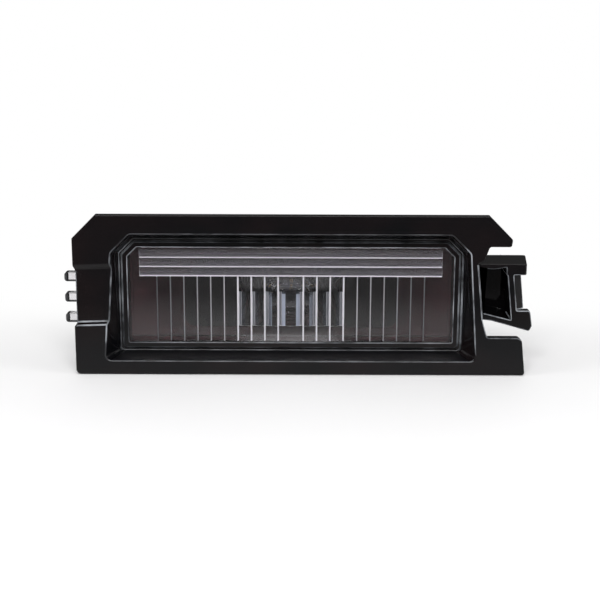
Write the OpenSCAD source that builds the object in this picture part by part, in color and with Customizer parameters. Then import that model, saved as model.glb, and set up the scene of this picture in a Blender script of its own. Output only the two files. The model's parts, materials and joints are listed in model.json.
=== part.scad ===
// Number plate lamp: a glossy black front frame with a moulded spring clip, a clear lens with
// prism steps and flutes, a rear housing and a twist-in bulb holder with a wedge base bulb.
// The lens faces -Y, +Z is up. The origin lies on the back face of the frame, on the lens's centre line.

/* [Front frame] */
// Height of the front frame
frame_h = 30.4; // [29.6:0.1:35]
// From the lens centre to the left edge of the frame
frame_left = 40.4; // [39:0.1:45]
// From the lens centre to the tip of the upper right arm
arm_reach = 41; // [40:0.1:44]
// From the lens centre to the corner of the lower right wing
wing_reach = 44.2; // [43:0.1:47]
// Height of the upper right arm, from the top of the frame
arm_h = 5.75; // [5:0.05:6.2]
// Height of the lower right wing
wing_h = 7.3; // [5:0.05:7.8]
// Thickness of the frame's flat rim
flange_t = 1.8; // [1.4:0.1:3]
// Size of the cut upper corners
corner_cut = 4.4; // [3:0.1:5.2]
// Radius of the frame's small corners
corner_r = 0.9; // [0.3:0.1:1.2]

/* [Recess] */
// Width of the recess at its top corners
recess_top_w = 66.7; // [65.6:0.1:67.4]
// Width of the recess at its bottom
recess_bottom_w = 69.7; // [66.8:0.1:70.4]
// Flat rim left above the recess
land_top = 3.55; // [2.6:0.05:4.2]
// Flat rim left below the recess
land_bottom = 2.65; // [2.2:0.05:3.4]
// Size of the recess's cut upper corners
recess_cut = 3.5; // [2:0.1:4.5]
// Depth of the recess from the front to the lip round the lens
recess_depth = 4; // [3:0.1:5]
// Width of the lip round the lens
ledge_w = 1.1; // [0.8:0.05:1.3]
// Width of the groove outside the lip
groove_w = 0.6; // [0.3:0.05:0.8]
// Depth of the groove outside the lip
groove_d = 0.45; // [0.2:0.05:0.7]
// Rim left between the recess and the notch beside the clip
neck_wall = 1.35; // [0.9:0.05:1.6]
// Wall of the recess
tray_wall = 1.6; // [1.2:0.1:2]

/* [Left block] */
// Height of the sunk block at the left end
block_h = 11.6; // [8:0.1:14]
// Centre of the sunk block, below the top of the frame
block_centre = 15.1; // [14:0.1:16]
// How deep the block's face is sunk
block_depth = 0.6; // [0.3:0.05:1]
// Width of the slope along the block's upper side
block_slope = 0.95; // [0.4:0.05:1.4]
// How far the block's sides fall towards its left end
block_tilt = 0.4; // [0:0.05:0.8]
// How far the left edge steps in beside the block
block_notch = 0.4; // [0.2:0.05:0.8]

/* [Spring clip] */
// Height of the clip, from its roof to its lowest corner
clip_h = 12.9; // [12:0.1:13.5]
// Gap between the upper arm and the clip
clip_gap = 3.45; // [3:0.05:4]
// From the lens centre to the outer face of the clip's leg, at its top
clip_reach = 41.4; // [40.6:0.05:42.2]
// Thickness of the clip's leg
clip_wall = 1.2; // [0.9:0.05:1.5]
// Thickness of the clip's roof at its sides
clip_roof = 0.6; // [0.5:0.05:1]
// How far the underside of the roof sags in its middle
roof_sag = 0.4; // [0.2:0.05:0.8]
// Distance of the pocket's left side from the edge of the frame
pocket_inset = 0.1; // [0.05:0.05:0.6]
// Thickness of the web under the pocket
web_t = 1.6; // [1:0.05:2]
// How much higher the web sits at the frame's side
web_rise = 1.4; // [0.8:0.05:2]
// Inner radius of the bend at the clip's back
bend_r = 2; // [1.4:0.1:2.1]
// Front to back depth of the clip
clip_depth = 8.6; // [7:0.1:11]
// How far the clip's front lies behind the front of the frame
clip_setback = 1.2; // [0.6:0.1:1.8]
// How far the ears reach outwards from the leg
ear_reach = 2.55; // [1.9:0.05:3.2]
// Height of the upper ear
ear_h = 2.1; // [1.5:0.1:2.8]
// How much further the upper ear reaches at its back
ear_flare = 1.1; // [0.4:0.1:1.6]
// Height of the lower ear
low_ear_h = 4; // [3:0.1:4.8]
// Front to back thickness of the lower ear
low_ear_t = 1.9; // [1:0.1:2.4]
// How far the lower ear hangs down below the web
low_ear_lip = 0.6; // [0.3:0.05:1]
// Distance of the catch's shoulder behind the clip's front
catch_start = 0.6; // [0.4:0.1:1.4]
// Front to back length of the catch's outer face
catch_flat = 0.8; // [0.5:0.1:1.2]
// How far the catch stands out from the leg
catch_reach = 1.55; // [0.8:0.05:1.8]
// Outward lean of the clip and of the frame's right side, in degrees
side_lean = 6.3; // [4:0.1:7]

/* [Lens] */
// Width of the lens window
window_w = 61.5; // [58:0.1:62]
// Height of the lens window
window_h = 18.4; // [17.4:0.1:18.8]
// Distance of the window's centre below the frame's centre
window_drop = 0.8; // [0.4:0.1:1.2]
// Size of the window's cut upper corners
window_cut = 1.75; // [1:0.05:2.5]
// Wall of the lens
lens_wall = 2.2; // [1.8:0.1:3]
// How far the lens lies behind the ledge
lens_setback = 0.3; // [0.1:0.05:0.8]
// Clearance between the lens and the frame's opening
lens_gap = 0.1; // [0.05:0.05:0.3]
// Width of the lens's hidden flange
lens_flange_w = 3; // [2:0.1:3.4]
// Thickness of the lens's hidden flange
lens_flange_t = 1.8; // [1.4:0.1:2.6]
// Spacing of the prism steps
step_pitch = 1.77; // [1.4:0.01:2.2]
// Number of prism steps
step_count = 3; // [2:1:4]
// Depth of a prism step
step_depth = 0.55; // [0.2:0.05:0.8]
// Height of a step's sloping riser
step_riser = 0.14; // [0.05:0.01:0.3]
// Width of the prism steps
step_w = 57.1; // [50:0.1:57.8]
// Spacing of the upright flutes
flute_pitch = 2.54; // [2.2:0.02:2.7]
// Depth of an outer flute
flute_depth = 0.35; // [0.15:0.05:0.5]
// Width of an outer flute's sloping riser
flute_riser = 0.2; // [0.05:0.01:0.3]
// Number of flutes on each side of the centre
flute_count = 10; // [6:1:11]
// How many of them, next to the centre, are deeper
deep_count = 4; // [2:1:5]
// How many times deeper and wider those are
deep_ratio = 1.5; // [1.2:0.1:1.8]
// Height of the sunk pad in the window's middle
pad_h = 6.7; // [4:0.1:9]
// Distance of the pad's centre below the window's centre
pad_drop = 2.75; // [1:0.05:4]
// How deep the pad is sunk at each flute's inner side
pad_sink = 0.3; // [0.15:0.05:0.5]
// How deep the pad is sunk at each flute's riser
pad_depth = 0.85; // [0.6:0.05:1.2]
// Width of the risers in the pad
pad_riser = 0.5; // [0.3:0.05:0.7]
// How far the pad's ribs bulge
pad_bulge = 0.25; // [0.1:0.05:0.4]
// Spacing of the three lugs at the lens's left end
lug_pitch = 4; // [3.2:0.05:4.6]
// Height of a lug
lug_h = 1.6; // [1.2:0.05:2.4]
// How far the lugs stand out past the frame's left edge
lug_reach = 2.75; // [1:0.05:3.4]
// Distance of the middle lug below the window's centre
lug_drop = 0.95; // [0.2:0.05:1.2]
// Front to back depth of a lug
lug_depth = 2.4; // [2:0.1:4]

/* [Rear housing] */
// Depth of the rear housing's tapered box
box_depth = 16; // [15:0.1:20]
// Width of the box at its back
box_back_w = 44; // [30:0.5:56]
// Height of the box at its back
box_back_h = 20.4; // [18:0.1:22]
// Wall of the rear housing
box_wall = 1.6; // [1.2:0.1:2.2]
// Outer radius of the bulb neck
neck_r = 10.2; // [9.8:0.1:11]
// Length of the bulb neck behind the box
neck_l = 9.4; // [8.6:0.1:14]
// Radius of the bayonet bore
bore_r = 7.6; // [7.3:0.05:8.2]
// Thickness of the lip that the bayonet tabs lock behind
lip_t = 2; // [1.4:0.1:3]
// Thickness of the fins beside the neck
rib_t = 1.4; // [1:0.1:2]
// How far the fins reach out from the neck
rib_reach = 2.4; // [1.4:0.1:3]
// Length of the fins along the neck
rib_l = 5.5; // [3:0.1:7.5]
// Distance of the bulb's axis below the frame's centre
bulb_drop = 3; // [2:0.1:3.4]

/* [Bulb holder] */
// Clearance of the holder in the bayonet bore
holder_gap = 0.2; // [0.1:0.05:0.4]
// Radius of the holder's outer disc
disc_r = 9.6; // [9.2:0.1:11]
// Thickness of the holder's disc
disc_t = 1.9; // [1.4:0.1:3]
// Width of a bayonet tab
tab_w = 3.6; // [2.4:0.1:4.6]
// How far a bayonet tab stands out
tab_reach = 1.3; // [0.8:0.05:1.4]
// Front to back thickness of a bayonet tab
tab_t = 1.6; // [1.2:0.1:2]
// Clearance between the tabs and the lip they lock behind
tab_gap = 0.15; // [0.05:0.05:0.3]
// Inner width of the plug shroud
shroud_w = 10.6; // [10:0.1:13]
// Inner height of the plug shroud
shroud_h = 6; // [5.2:0.1:8]
// Length of the plug shroud
shroud_l = 11; // [8:0.1:15]
// Wall of the plug shroud and the bulb socket
shroud_wall = 1.3; // [1:0.1:1.8]
// Width of the plug's latch on the shroud
latch_w = 3.2; // [2:0.1:5]
// Length of the plug's latch
latch_l = 2.4; // [1.6:0.1:4]
// Height of the plug's latch above the shroud
latch_h = 1.2; // [0.8:0.1:1.8]
// Distance of the plug's latch behind the disc
latch_start = 3; // [1.5:0.1:6]
// Length of the finger grips behind the disc
grip_l = 4.2; // [3:0.1:6]
// Width of the finger grips
grip_w = 8.8; // [6:0.1:10]
// Thickness of the finger grips
grip_t = 2; // [1.4:0.1:2.4]
// Thickness of the seal ring
seal_t = 1.2; // [0.8:0.1:2]
// Width of the seal ring's rubber section
seal_w = 1.5; // [1:0.1:1.6]

/* [Contacts] */
// Distance between the two plug pins
pin_pitch = 6.4; // [6:0.1:7.6]
// Width of a plug pin
pin_w = 1.5; // [1:0.1:2]
// Thickness of the contact sheet
sheet_t = 0.6; // [0.4:0.05:0.8]
// Length of the pins inside the shroud
pin_l = 7; // [5:0.1:10]

/* [Bulb] */
// Radius of the bulb's glass
glass_r = 5.15; // [4.6:0.05:5.2]
// Length of the glass in front of its pinched base
glass_l = 18.5; // [16:0.1:19]
// Wall of the glass
glass_t = 0.6; // [0.4:0.05:1]
// Width of the pinched base
pinch_w = 9.5; // [8:0.1:9.6]
// Thickness of the pinched base
pinch_t = 2.1; // [1.8:0.1:2.3]
// Length of the pinched base
pinch_l = 6.2; // [5:0.1:6.4]
// Clearance between the bulb's base and its socket
socket_gap = 0.3; // [0.15:0.05:0.4]
// Distance between the filament's supports
support_span = 5; // [3:0.1:6]
// Radius of the support wires
wire_r = 0.2; // [0.15:0.05:0.3]
// Distance of the filament in front of the pinched base
filament_height = 9.6; // [7:0.1:12]
// Radius of the filament's coil
coil_r = 0.45; // [0.3:0.05:0.6]
// Turns of the filament's coil
coil_turns = 14; // [8:1:18]

/* [Hidden] */
$fn = 64;
tiny = 0.01;
far = 60;
arc_steps = 5;
root_gap = 0.3;
window_r = 0.25;
floor_steps = 6;
edge_rim = 0.2;
flange_lap = 0.6;
black = [0.035, 0.035, 0.04];
clear = [0.85, 0.88, 0.9, 0.5];

// Heights are measured down from the top of the frame.
function z_at(down) = frame_h / 2 - down;
frame_bottom = -frame_h / 2;

// Front to back places
front = -flange_t;
ledge_y = front + recess_depth;
groove_y = ledge_y + groove_d;
tray_back = ledge_y + tray_wall;
lens_front = ledge_y + lens_setback;
lens_back = lens_front + lens_wall;
lens_flange_back = tray_back + lens_flange_t;
box_back = lens_flange_back + box_depth;
neck_end = box_back + neck_l;
clip_front = front + clip_setback;
clip_back = clip_front + clip_depth;
seal_back = neck_end + seal_t;
disc_back = seal_back + disc_t;
pinch_back = seal_back - 0.4;
socket_front = pinch_back - pinch_l + socket_gap;
socket_back = pinch_back + 0.7;
pinch_front = pinch_back - pinch_l;
bulb_tip = pinch_front - glass_l;
filament_y = pinch_front - filament_height;

// Heights in the front view
window_z = -window_drop;
window_top = window_z + window_h / 2;
window_bottom = window_z - window_h / 2;
recess_top = z_at(land_top);
recess_bottom = frame_bottom + land_bottom;
block_z = z_at(block_centre);
bulb_z = -bulb_drop;
steps_top = window_top - 0.3;
steps_bottom = steps_top - step_pitch * step_count;

// The right side leans outwards going down.
lean = tan(side_lean);
notch_top = z_at(arm_h);
wing_top = frame_bottom + wing_h;
clip_top = notch_top - clip_gap;
clip_bottom = clip_top - clip_h;
web_bottom = clip_bottom + low_ear_lip;
function leaning(x, z) = x + (clip_top - z) * lean;
function pocket_left(z) = leaning(neck_x + pocket_inset, z);
function leg_inside(z) = leaning(clip_reach - clip_wall, z);
function leg_outside(z) = leaning(clip_reach, z);
neck_x = recess_top_w / 2 + neck_wall;
clip_mid = (clip_top + clip_bottom) / 2;
clip_root = window_w / 2 + lens_flange_w + root_gap;

function unit(v) = v / norm(v);
function turned(a) = a > 180 ? a - 360 : a < -180 ? a + 360 : a;

// Rounds the corners of an outline whose points are [x, z, radius]
function corner(a, p, b) =
    let (here = [p[0], p[1]])
    let (u = unit([a[0], a[1]] - here))
    let (w = unit([b[0], b[1]] - here))
    let (half = acos(u * w) / 2)
    let (centre = here + unit(u + w) * p[2] / sin(half))
    let (s = here + u * p[2] / tan(half) - centre)
    let (e = here + w * p[2] / tan(half) - centre)
    let (start = atan2(s[1], s[0]))
    let (sweep = turned(atan2(e[1], e[0]) - start))
    [for (k = [0 : arc_steps])
        centre + p[2] * [cos(start + sweep * k / arc_steps), sin(start + sweep * k / arc_steps)]];
function rounded(o) = [for (i = [0 : len(o) - 1])
    each o[i][2] > 0
        ? corner(o[(i + len(o) - 1) % len(o)], o[i], o[(i + 1) % len(o)])
        : [[o[i][0], o[i][1]]]];

// A window shape with cut upper corners, wider or narrower at its bottom
function window_outline(top_w, bottom_w, top, bottom, cut, r) = rounded([
    [-bottom_w / 2, bottom, r], [bottom_w / 2, bottom, r],
    [top_w / 2, top - cut, r], [top_w / 2 - cut, top, r],
    [cut - top_w / 2, top, r], [-top_w / 2, top - cut, r]]);
function glass_outline(grow) = window_outline(window_w + 2 * grow, window_w + 2 * grow,
    window_top + grow, window_bottom - grow, window_cut + 0.59 * grow, window_r);

// A plate drawn in the front view, between two places along Y
module plate(y0, y1) {
    translate([0, y1, 0])
        rotate([90, 0, 0])
            linear_extrude(y1 - y0)
                children();
}

// A straight-sided body between two outlines with equally many points
module loft(outline_a, y_a, outline_b, y_b) {
    n = len(outline_a);
    polyhedron(
        points = concat([for (p = outline_a) [p[0], y_a, p[1]]], [for (p = outline_b) [p[0], y_b, p[1]]]),
        faces = concat([[for (i = [0 : n - 1]) n - 1 - i]], [[for (i = [0 : n - 1]) n + i]],
            [for (i = [0 : n - 1]) [n + (i + 1) % n, n + i, i]],
            [for (i = [0 : n - 1]) [(i + 1) % n, n + (i + 1) % n, i]]));
}

// Front frame
function recess_outline(grow) = window_outline(recess_top_w + 2 * grow, recess_bottom_w + 2 * grow,
    recess_top + grow, recess_bottom - grow, recess_cut + 0.59 * grow, 1);
function rim_outline(grow) = window_outline(window_w + 2 * (ledge_w + grow), window_w + 2 * (ledge_w + grow),
    window_top + ledge_w + grow, window_bottom - ledge_w - grow, window_cut + 0.59 * (ledge_w + grow), 0.8);

module flange() {
    notch_over = block_z + block_h / 2 - 0.4;
    notch_under = block_z - block_h / 2;
    plate(front, 0)
        polygon(rounded([
            [-frame_left, frame_bottom, corner_r],
            [wing_reach, frame_bottom, corner_r / 2],
            [wing_reach - wing_h * lean, wing_top, 1.1],
            [leaning(neck_x, wing_top) + 0.65, wing_top, 0.4],
            [leaning(neck_x, wing_top + 3.6), wing_top + 3.6, 0],
            [neck_x, clip_top + 0.3, 0.3],
            [neck_x + 1.2, clip_top + 0.9, 0.3],
            [neck_x + 2.1, notch_top, 0.5],
            [arm_reach - 0.2, notch_top, 0.4],
            [arm_reach, z_at(corner_cut), 0.6],
            [arm_reach - corner_cut, z_at(0), 0.3],
            [corner_cut - frame_left, z_at(0), 0.3],
            [-frame_left, z_at(corner_cut), 0.3],
            [-frame_left, notch_over, 0.2],
            [block_notch - frame_left, notch_over - 1, 0.2],
            [block_notch - frame_left, notch_under + 0.3, 0.2],
            [-frame_left, notch_under - 0.3, 0.2]]));
}

// The sunk block, with sloping upper and lower sides that fall towards the left end
function block_outline(upper_in, lower_in) =
    let (left = -frame_left - 4)
    let (right = -recess_top_w / 2 + 0.6)
    let (upper = block_z + block_h / 2 - upper_in)
    let (lower = block_z - block_h / 2 + lower_in)
    [[left, lower - block_tilt / 2], [right, lower + block_tilt / 2],
        [right, upper + block_tilt / 2], [left, upper - block_tilt / 2]];

function clip_outline() = [
    [neck_x - 1, clip_top],
    [clip_reach, clip_top],
    [leg_outside(web_bottom), web_bottom],
    [neck_x + 3, web_bottom + web_rise],
    [neck_x - 1, web_bottom + web_rise + 0.5]];
function clip_hollow_outline() =
    let (roof_z = clip_top - clip_roof)
    let (floor_z = web_bottom + web_t)
    let (left = pocket_left(roof_z))
    let (right = leg_inside(roof_z))
    concat(
        [for (k = [0 : 8]) [left + (right - left) * (1 - k / 8), roof_z - roof_sag * sin(180 * k / 8)]],
        [[pocket_left(floor_z + web_rise), floor_z + web_rise], [leg_inside(floor_z), floor_z]]);

// The clip's plan: a U that is open towards the front, with a round bend at its back
module clip_plan() {
    translate([0, 0, clip_bottom - 1])
        linear_extrude(clip_h + 2)
            polygon(rounded([
                [clip_root, clip_front - 1, 0],
                [clip_reach + 3, clip_front - 1, 0],
                [leg_outside(clip_mid) + 0.4, clip_back, bend_r + clip_wall],
                [clip_root, clip_back, 0]]));
}
module clip_pocket_plan() {
    left = pocket_left(clip_mid);
    right = leg_inside(clip_mid) + 0.4;
    deep = clip_back - clip_wall;
    bend_start = deep - bend_r - 0.1;
    translate([0, 0, clip_bottom - 1])
        linear_extrude(clip_h + 2)
            polygon(rounded([
                [clip_root, clip_front - 1, 0],
                [clip_reach + 3, clip_front - 1, 0],
                [right + 0.3, bend_start, 0],
                [right, deep, bend_r],
                [left, deep, bend_r],
                [left - 0.3, bend_start, 0],
                [clip_root, bend_start, 0]]));
}

// The upper ear runs from front to back, the lower one is a thumb tab at the front
module ears() {
    low_top = clip_bottom + low_ear_h;
    translate([0, 0, clip_top - ear_h])
        linear_extrude(ear_h)
            polygon(rounded([
                [clip_reach - clip_wall, clip_front, 0],
                [clip_reach + ear_reach, clip_front, 0.5],
                [clip_reach + ear_reach + ear_flare, clip_back, 0.6],
                [clip_reach - clip_wall, clip_back, 0]]));
    plate(clip_front, clip_front + low_ear_t)
        polygon(rounded([
            [leg_inside(low_top), low_top, 0],
            [leg_outside(low_top) + ear_reach, low_top, 0.5],
            [leg_outside(clip_bottom) + ear_reach, clip_bottom + 1, 0.4],
            [leg_outside(clip_bottom) + ear_reach - 0.5, clip_bottom, 0.4],
            [leg_outside(clip_bottom) - 0.2, web_bottom, 0.3],
            [leg_inside(clip_bottom + 1), web_bottom + 0.5, 0]]));
}

// The catch that snaps behind the panel fills the leg's side between the ears
module catch() {
    upper = clip_top - ear_h;
    lower = clip_bottom + low_ear_h;
    shoulder = clip_front + catch_start;
    crest = shoulder + 1.2;
    root = clip_wall / 2;
    translate([leg_outside(lower), 0, lower - 0.1])
        rotate([0, -side_lean, 0])
            linear_extrude((upper - lower + 0.2) / cos(side_lean))
                polygon([[-root, shoulder], [catch_reach, crest],
                    [catch_reach, crest + catch_flat], [-root, clip_back - 1.6]]);
}

module clip() {
    difference() {
        intersection() {
            plate(clip_front, clip_back)
                polygon(clip_outline());
            clip_plan();
        }
        intersection() {
            plate(clip_front - 1, clip_back)
                polygon(clip_hollow_outline());
            clip_pocket_plan();
        }
    }
    ears();
    catch();
}

module front_frame() {
    color(black)
        difference() {
            union() {
                flange();
                loft(recess_outline(0.9), front + 0.4, rim_outline(tray_wall), tray_back);
                clip();
            }
            loft(recess_outline(0), front - tiny, rim_outline(groove_w), ledge_y);
            plate(ledge_y - tiny, groove_y)
                difference() {
                    polygon(rim_outline(groove_w));
                    polygon(rim_outline(0));
                }
            plate(front - 1, tray_back + 1)
                polygon(glass_outline(0));
            loft(block_outline(0, 0), front - tiny, block_outline(block_slope, block_slope * 0.6), front + block_depth);
        }
}

// Lens
module flute_cuts(first, last, depth, riser) {
    for (side = [0, 1])
        mirror([side, 0, 0])
            for (i = [first : last])
                polygon([[flute_pitch * (i - 1), 0], [flute_pitch * i, 0], [flute_pitch * i - riser, depth]]);
}

module lens_steps() {
    for (i = [0 : step_count - 1])
        translate([-step_w / 2, 0, steps_top - step_pitch * i])
            rotate([0, 90, 0])
                linear_extrude(step_w)
                    polygon([[0, lens_front - tiny], [step_pitch, lens_front - tiny],
                        [step_pitch - step_riser, lens_front + step_depth]]);
}

// Upright flutes from the lowest step down, each with its riser towards the centre
module lens_flutes() {
    translate([0, lens_front - tiny, window_bottom + edge_rim])
        linear_extrude(steps_bottom - window_bottom - edge_rim) {
            flute_cuts(1, deep_count, flute_depth * deep_ratio, flute_riser * deep_ratio);
            flute_cuts(deep_count + 1, flute_count, flute_depth, flute_riser);
        }
}

// The sunk pad: the middle flutes go on deeper there, with bulging floors
module lens_pad() {
    inner = [0, pad_sink];
    outer = [flute_pitch - pad_riser, pad_depth];
    floor_line = [for (k = [0 : floor_steps])
        let (t = k / floor_steps)
        inner + (outer - inner) * t - [0, 4 * pad_bulge * t * (1 - t)]];
    translate([0, lens_front - tiny, window_z - pad_drop - pad_h / 2])
        linear_extrude(pad_h)
            for (side = [0, 1])
                mirror([side, 0, 0])
                    for (i = [0 : deep_count - 1])
                        translate([flute_pitch * i, 0])
                            polygon(concat([[flute_pitch, 0], [0, 0]], floor_line));
}

// A lug with a rounded tip, both from above and from the front
module lens_lug(z) {
    tip = -frame_left - lug_reach;
    intersection() {
        translate([0, 0, z - lug_h / 2])
            linear_extrude(lug_h)
                polygon(rounded([
                    [-frame_left + 1, tray_back, 0],
                    [-frame_left + 1, tray_back + lug_depth, 0],
                    [tip, tray_back + lug_depth, 0.7],
                    [tip, tray_back, 0.9]]));
        plate(tray_back - 1, tray_back + lug_depth + 1)
            polygon(rounded([
                [-frame_left + 2, z - lug_h / 2, 0],
                [-frame_left + 2, z + lug_h / 2, 0],
                [tip, z + lug_h / 2, 0.6],
                [tip, z - lug_h / 2, 0.6]]));
    }
}

module lens() {
    lug_z = window_z - lug_drop;
    tongue_h = 2 * lug_pitch + lug_h;
    color(clear) {
        difference() {
            plate(lens_front, lens_back)
                polygon(glass_outline(-lens_gap));
            lens_steps();
            lens_flutes();
            lens_pad();
        }
        plate(tray_back, lens_flange_back)
            difference() {
                polygon(glass_outline(lens_flange_w));
                polygon(glass_outline(-lens_gap - flange_lap));
            }
        plate(tray_back, lens_flange_back)
            translate([-frame_left + block_notch - 0.3, lug_z - tongue_h / 2])
                square([frame_left - window_w / 2, tongue_h]);
        for (i = [-1 : 1])
            lens_lug(lug_z + i * lug_pitch);
    }
}

// Rear housing
function box_outline(w, top, bottom, r) = rounded([
    [-w / 2, bottom, r], [w / 2, bottom, r], [w / 2, top, r], [-w / 2, top, r]]);

module along_y(y0, y1, r) {
    translate([0, y1, bulb_z])
        rotate([90, 0, 0])
            cylinder(h = y1 - y0, r = r);
}

module rear_housing() {
    front_w = window_w + 2 * lens_flange_w;
    front_top = window_top + lens_flange_w;
    front_bottom = window_bottom - lens_flange_w;
    back_bottom = bulb_z - neck_r;
    back_top = back_bottom + box_back_h;
    wall = box_wall;
    relief_back = neck_end - lip_t;
    color(black)
        difference() {
            union() {
                plate(lens_flange_back, lens_flange_back + wall)
                    polygon(box_outline(front_w, front_top, front_bottom, 2));
                loft(box_outline(front_w - 3, front_top - 1.2, front_bottom + 0.2, 3), lens_flange_back + wall / 2,
                    box_outline(box_back_w, back_top, back_bottom, 3), box_back);
                along_y(box_back - 3, neck_end, neck_r);
                for (a = [45, 135])
                    translate([0, box_back - 1, bulb_z])
                        rotate([0, a, 0])
                            rib_fin();
            }
            loft(box_outline(front_w - 3 - 2 * wall, front_top - 1.2 - wall, front_bottom + 0.2 + wall, 2),
                lens_flange_back - tiny,
                box_outline(box_back_w - 2 * wall, back_top - wall, back_bottom + wall, 2), box_back - wall);
            along_y(box_back - wall - 1, neck_end + 1, bore_r);
            along_y(box_back - wall - 1, relief_back, neck_r - 1);
            for (a = [90, 210, 330])
                translate([0, 0, bulb_z])
                    rotate([0, a, 0])
                        translate([0, relief_back - 1, -(tab_w + 0.8) / 2])
                            cube([bore_r + tab_reach + 0.1, lip_t + 2, tab_w + 0.8]);
        }
}

// Two fins on one line across the neck, lower towards the back
module rib_fin() {
    reach = neck_r + rib_reach;
    for (side = [0, 180])
        rotate([0, side, 0])
            translate([0, 0, -rib_t / 2])
                linear_extrude(rib_t)
                    polygon([[neck_r - 1, 0], [reach, 0], [reach, rib_t], [neck_r - 0.6, rib_l], [neck_r - 1, rib_l]]);
}

// Bulb holder
module bulb_holder() {
    tab_front = neck_end - lip_t - tab_gap - tab_t;
    cavity_w = pinch_w + 2 * socket_gap;
    cavity_t = pinch_t + 2 * sheet_t + 0.7;
    color([0.09, 0.09, 0.1])
        difference() {
            union() {
                along_y(seal_back, disc_back, disc_r);
                along_y(neck_end - lip_t - 1, seal_back, bore_r - holder_gap);
                along_y(socket_front, neck_end - lip_t, bore_r - 1.1);
                for (a = [30, 150, 270])
                    translate([0, 0, bulb_z])
                        rotate([0, a, 0])
                            intersection() {
                                translate([0, tab_front, -tab_w / 2])
                                    cube([far, tab_t, tab_w]);
                                rotate([-90, 0, 0])
                                    cylinder(h = far, r = bore_r + tab_reach - holder_gap);
                            }
                for (side = [-1, 1])
                    translate([side * (disc_r - 2.6) - grip_t / 2, disc_back - tiny, bulb_z - grip_w / 2])
                        cube([grip_t, grip_l, grip_w]);
                translate([-shroud_w / 2 - shroud_wall, disc_back - tiny, bulb_z - shroud_h / 2 - shroud_wall])
                    cube([shroud_w + 2 * shroud_wall, shroud_l, shroud_h + 2 * shroud_wall]);
                translate([-latch_w / 2, disc_back + latch_start, bulb_z + shroud_h / 2])
                    cube([latch_w, latch_l, shroud_wall + latch_h]);
            }
            translate([-cavity_w / 2, socket_front - 1, bulb_z - cavity_t / 2])
                cube([cavity_w, socket_back - socket_front + 1, cavity_t]);
            translate([-shroud_w / 2, disc_back, bulb_z - shroud_h / 2])
                cube([shroud_w, shroud_l + 1, shroud_h]);
            for (side = [-1, 1])
                translate([side * pin_pitch / 2 - pin_w / 2, socket_back - 1, bulb_z - sheet_t / 2])
                    cube([pin_w, disc_back - socket_back + 2, sheet_t]);
        }
}

module holder_seal() {
    color([0.12, 0.12, 0.12])
        difference() {
            along_y(neck_end, seal_back, bore_r - holder_gap + seal_w);
            along_y(neck_end - 1, seal_back + 1, bore_r - holder_gap);
        }
}

// A plug pin at the back, and a two-leaf spring at the front that grips the bulb's base
module contact(side) {
    leaf_front = socket_front + 0.5;
    leaf_t = 0.4;
    root = pinch_back + 0.1;
    web = root + leaf_t;
    inner = pinch_t / 2 + 0.05;
    slack = inner + 0.3;
    tip = disc_back + pin_l;
    upper = [[web, sheet_t / 2], [web, slack + leaf_t], [root - 1.6, slack + leaf_t],
        [leaf_front + 1.6, inner + leaf_t], [leaf_front, slack + leaf_t], [leaf_front, slack],
        [leaf_front + 1.6, inner], [root - 1.6, slack], [root, slack]];
    lower = [for (i = [len(upper) - 1 : -1 : 0]) [upper[i][0], -upper[i][1]]];
    color([0.8, 0.65, 0.3])
        translate([side * pin_pitch / 2 - pin_w / 2, 0, bulb_z])
            rotate([90, 0, 90])
                linear_extrude(pin_w)
                    polygon(concat([[tip, sheet_t / 4], [tip - 0.6, sheet_t / 2]], upper, lower,
                        [[tip - 0.6, -sheet_t / 2], [tip, -sheet_t / 4]]));
}
module contact_left() {
    contact(-1);
}
module contact_right() {
    contact(1);
}

// Bulb
module support_path(side, r) {
    x = side * support_span / 2;
    foot = side * (pinch_w / 2 - 1.6);
    translate([x, filament_y, bulb_z])
        rotate([-90, 0, 0])
            cylinder(h = pinch_front + 2 - filament_y, r = r, $fn = 24);
    translate([x, pinch_front + 2, bulb_z])
        sphere(r, $fn = 24);
    translate([min(x, foot), pinch_front + 2, bulb_z])
        rotate([0, 90, 0])
            cylinder(h = abs(foot - x), r = r, $fn = 24);
    translate([foot, pinch_front + 2, bulb_z])
        sphere(r, $fn = 24);
    translate([foot, pinch_front + 2, bulb_z])
        rotate([-90, 0, 0])
            cylinder(h = pinch_l - 2, r = r, $fn = 24);
}

module bulb_glass() {
    r = glass_r;
    inner = r - glass_t;
    dome = [for (a = [90 : -15 : 0]) [r * cos(a), -r * 0.72 * sin(a)]];
    dome_in = [for (a = [0 : 15 : 90]) [inner * cos(a), -inner * 0.72 * sin(a)]];
    base_y = bulb_tip + r * 0.72;
    color(clear)
        difference() {
            union() {
                translate([0, base_y, bulb_z])
                    rotate([-90, 0, 0])
                        rotate_extrude()
                            polygon(concat(dome, [[r, pinch_front - base_y - 2.6],
                                [r * 0.62, pinch_front - base_y], [0, pinch_front - base_y]]));
                translate([-pinch_w / 2, pinch_front - 2.4, bulb_z - pinch_t / 2])
                    cube([pinch_w, pinch_l + 2.4, pinch_t]);
            }
            translate([0, base_y, bulb_z])
                rotate([-90, 0, 0])
                    rotate_extrude()
                        polygon(concat(dome_in, [[0, pinch_front - base_y - 1.6],
                            [inner * 0.55, pinch_front - base_y - 1.6], [inner, pinch_front - base_y - 3.4]]));
            support_path(-1, wire_r);
            support_path(1, wire_r);
        }
}

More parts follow.
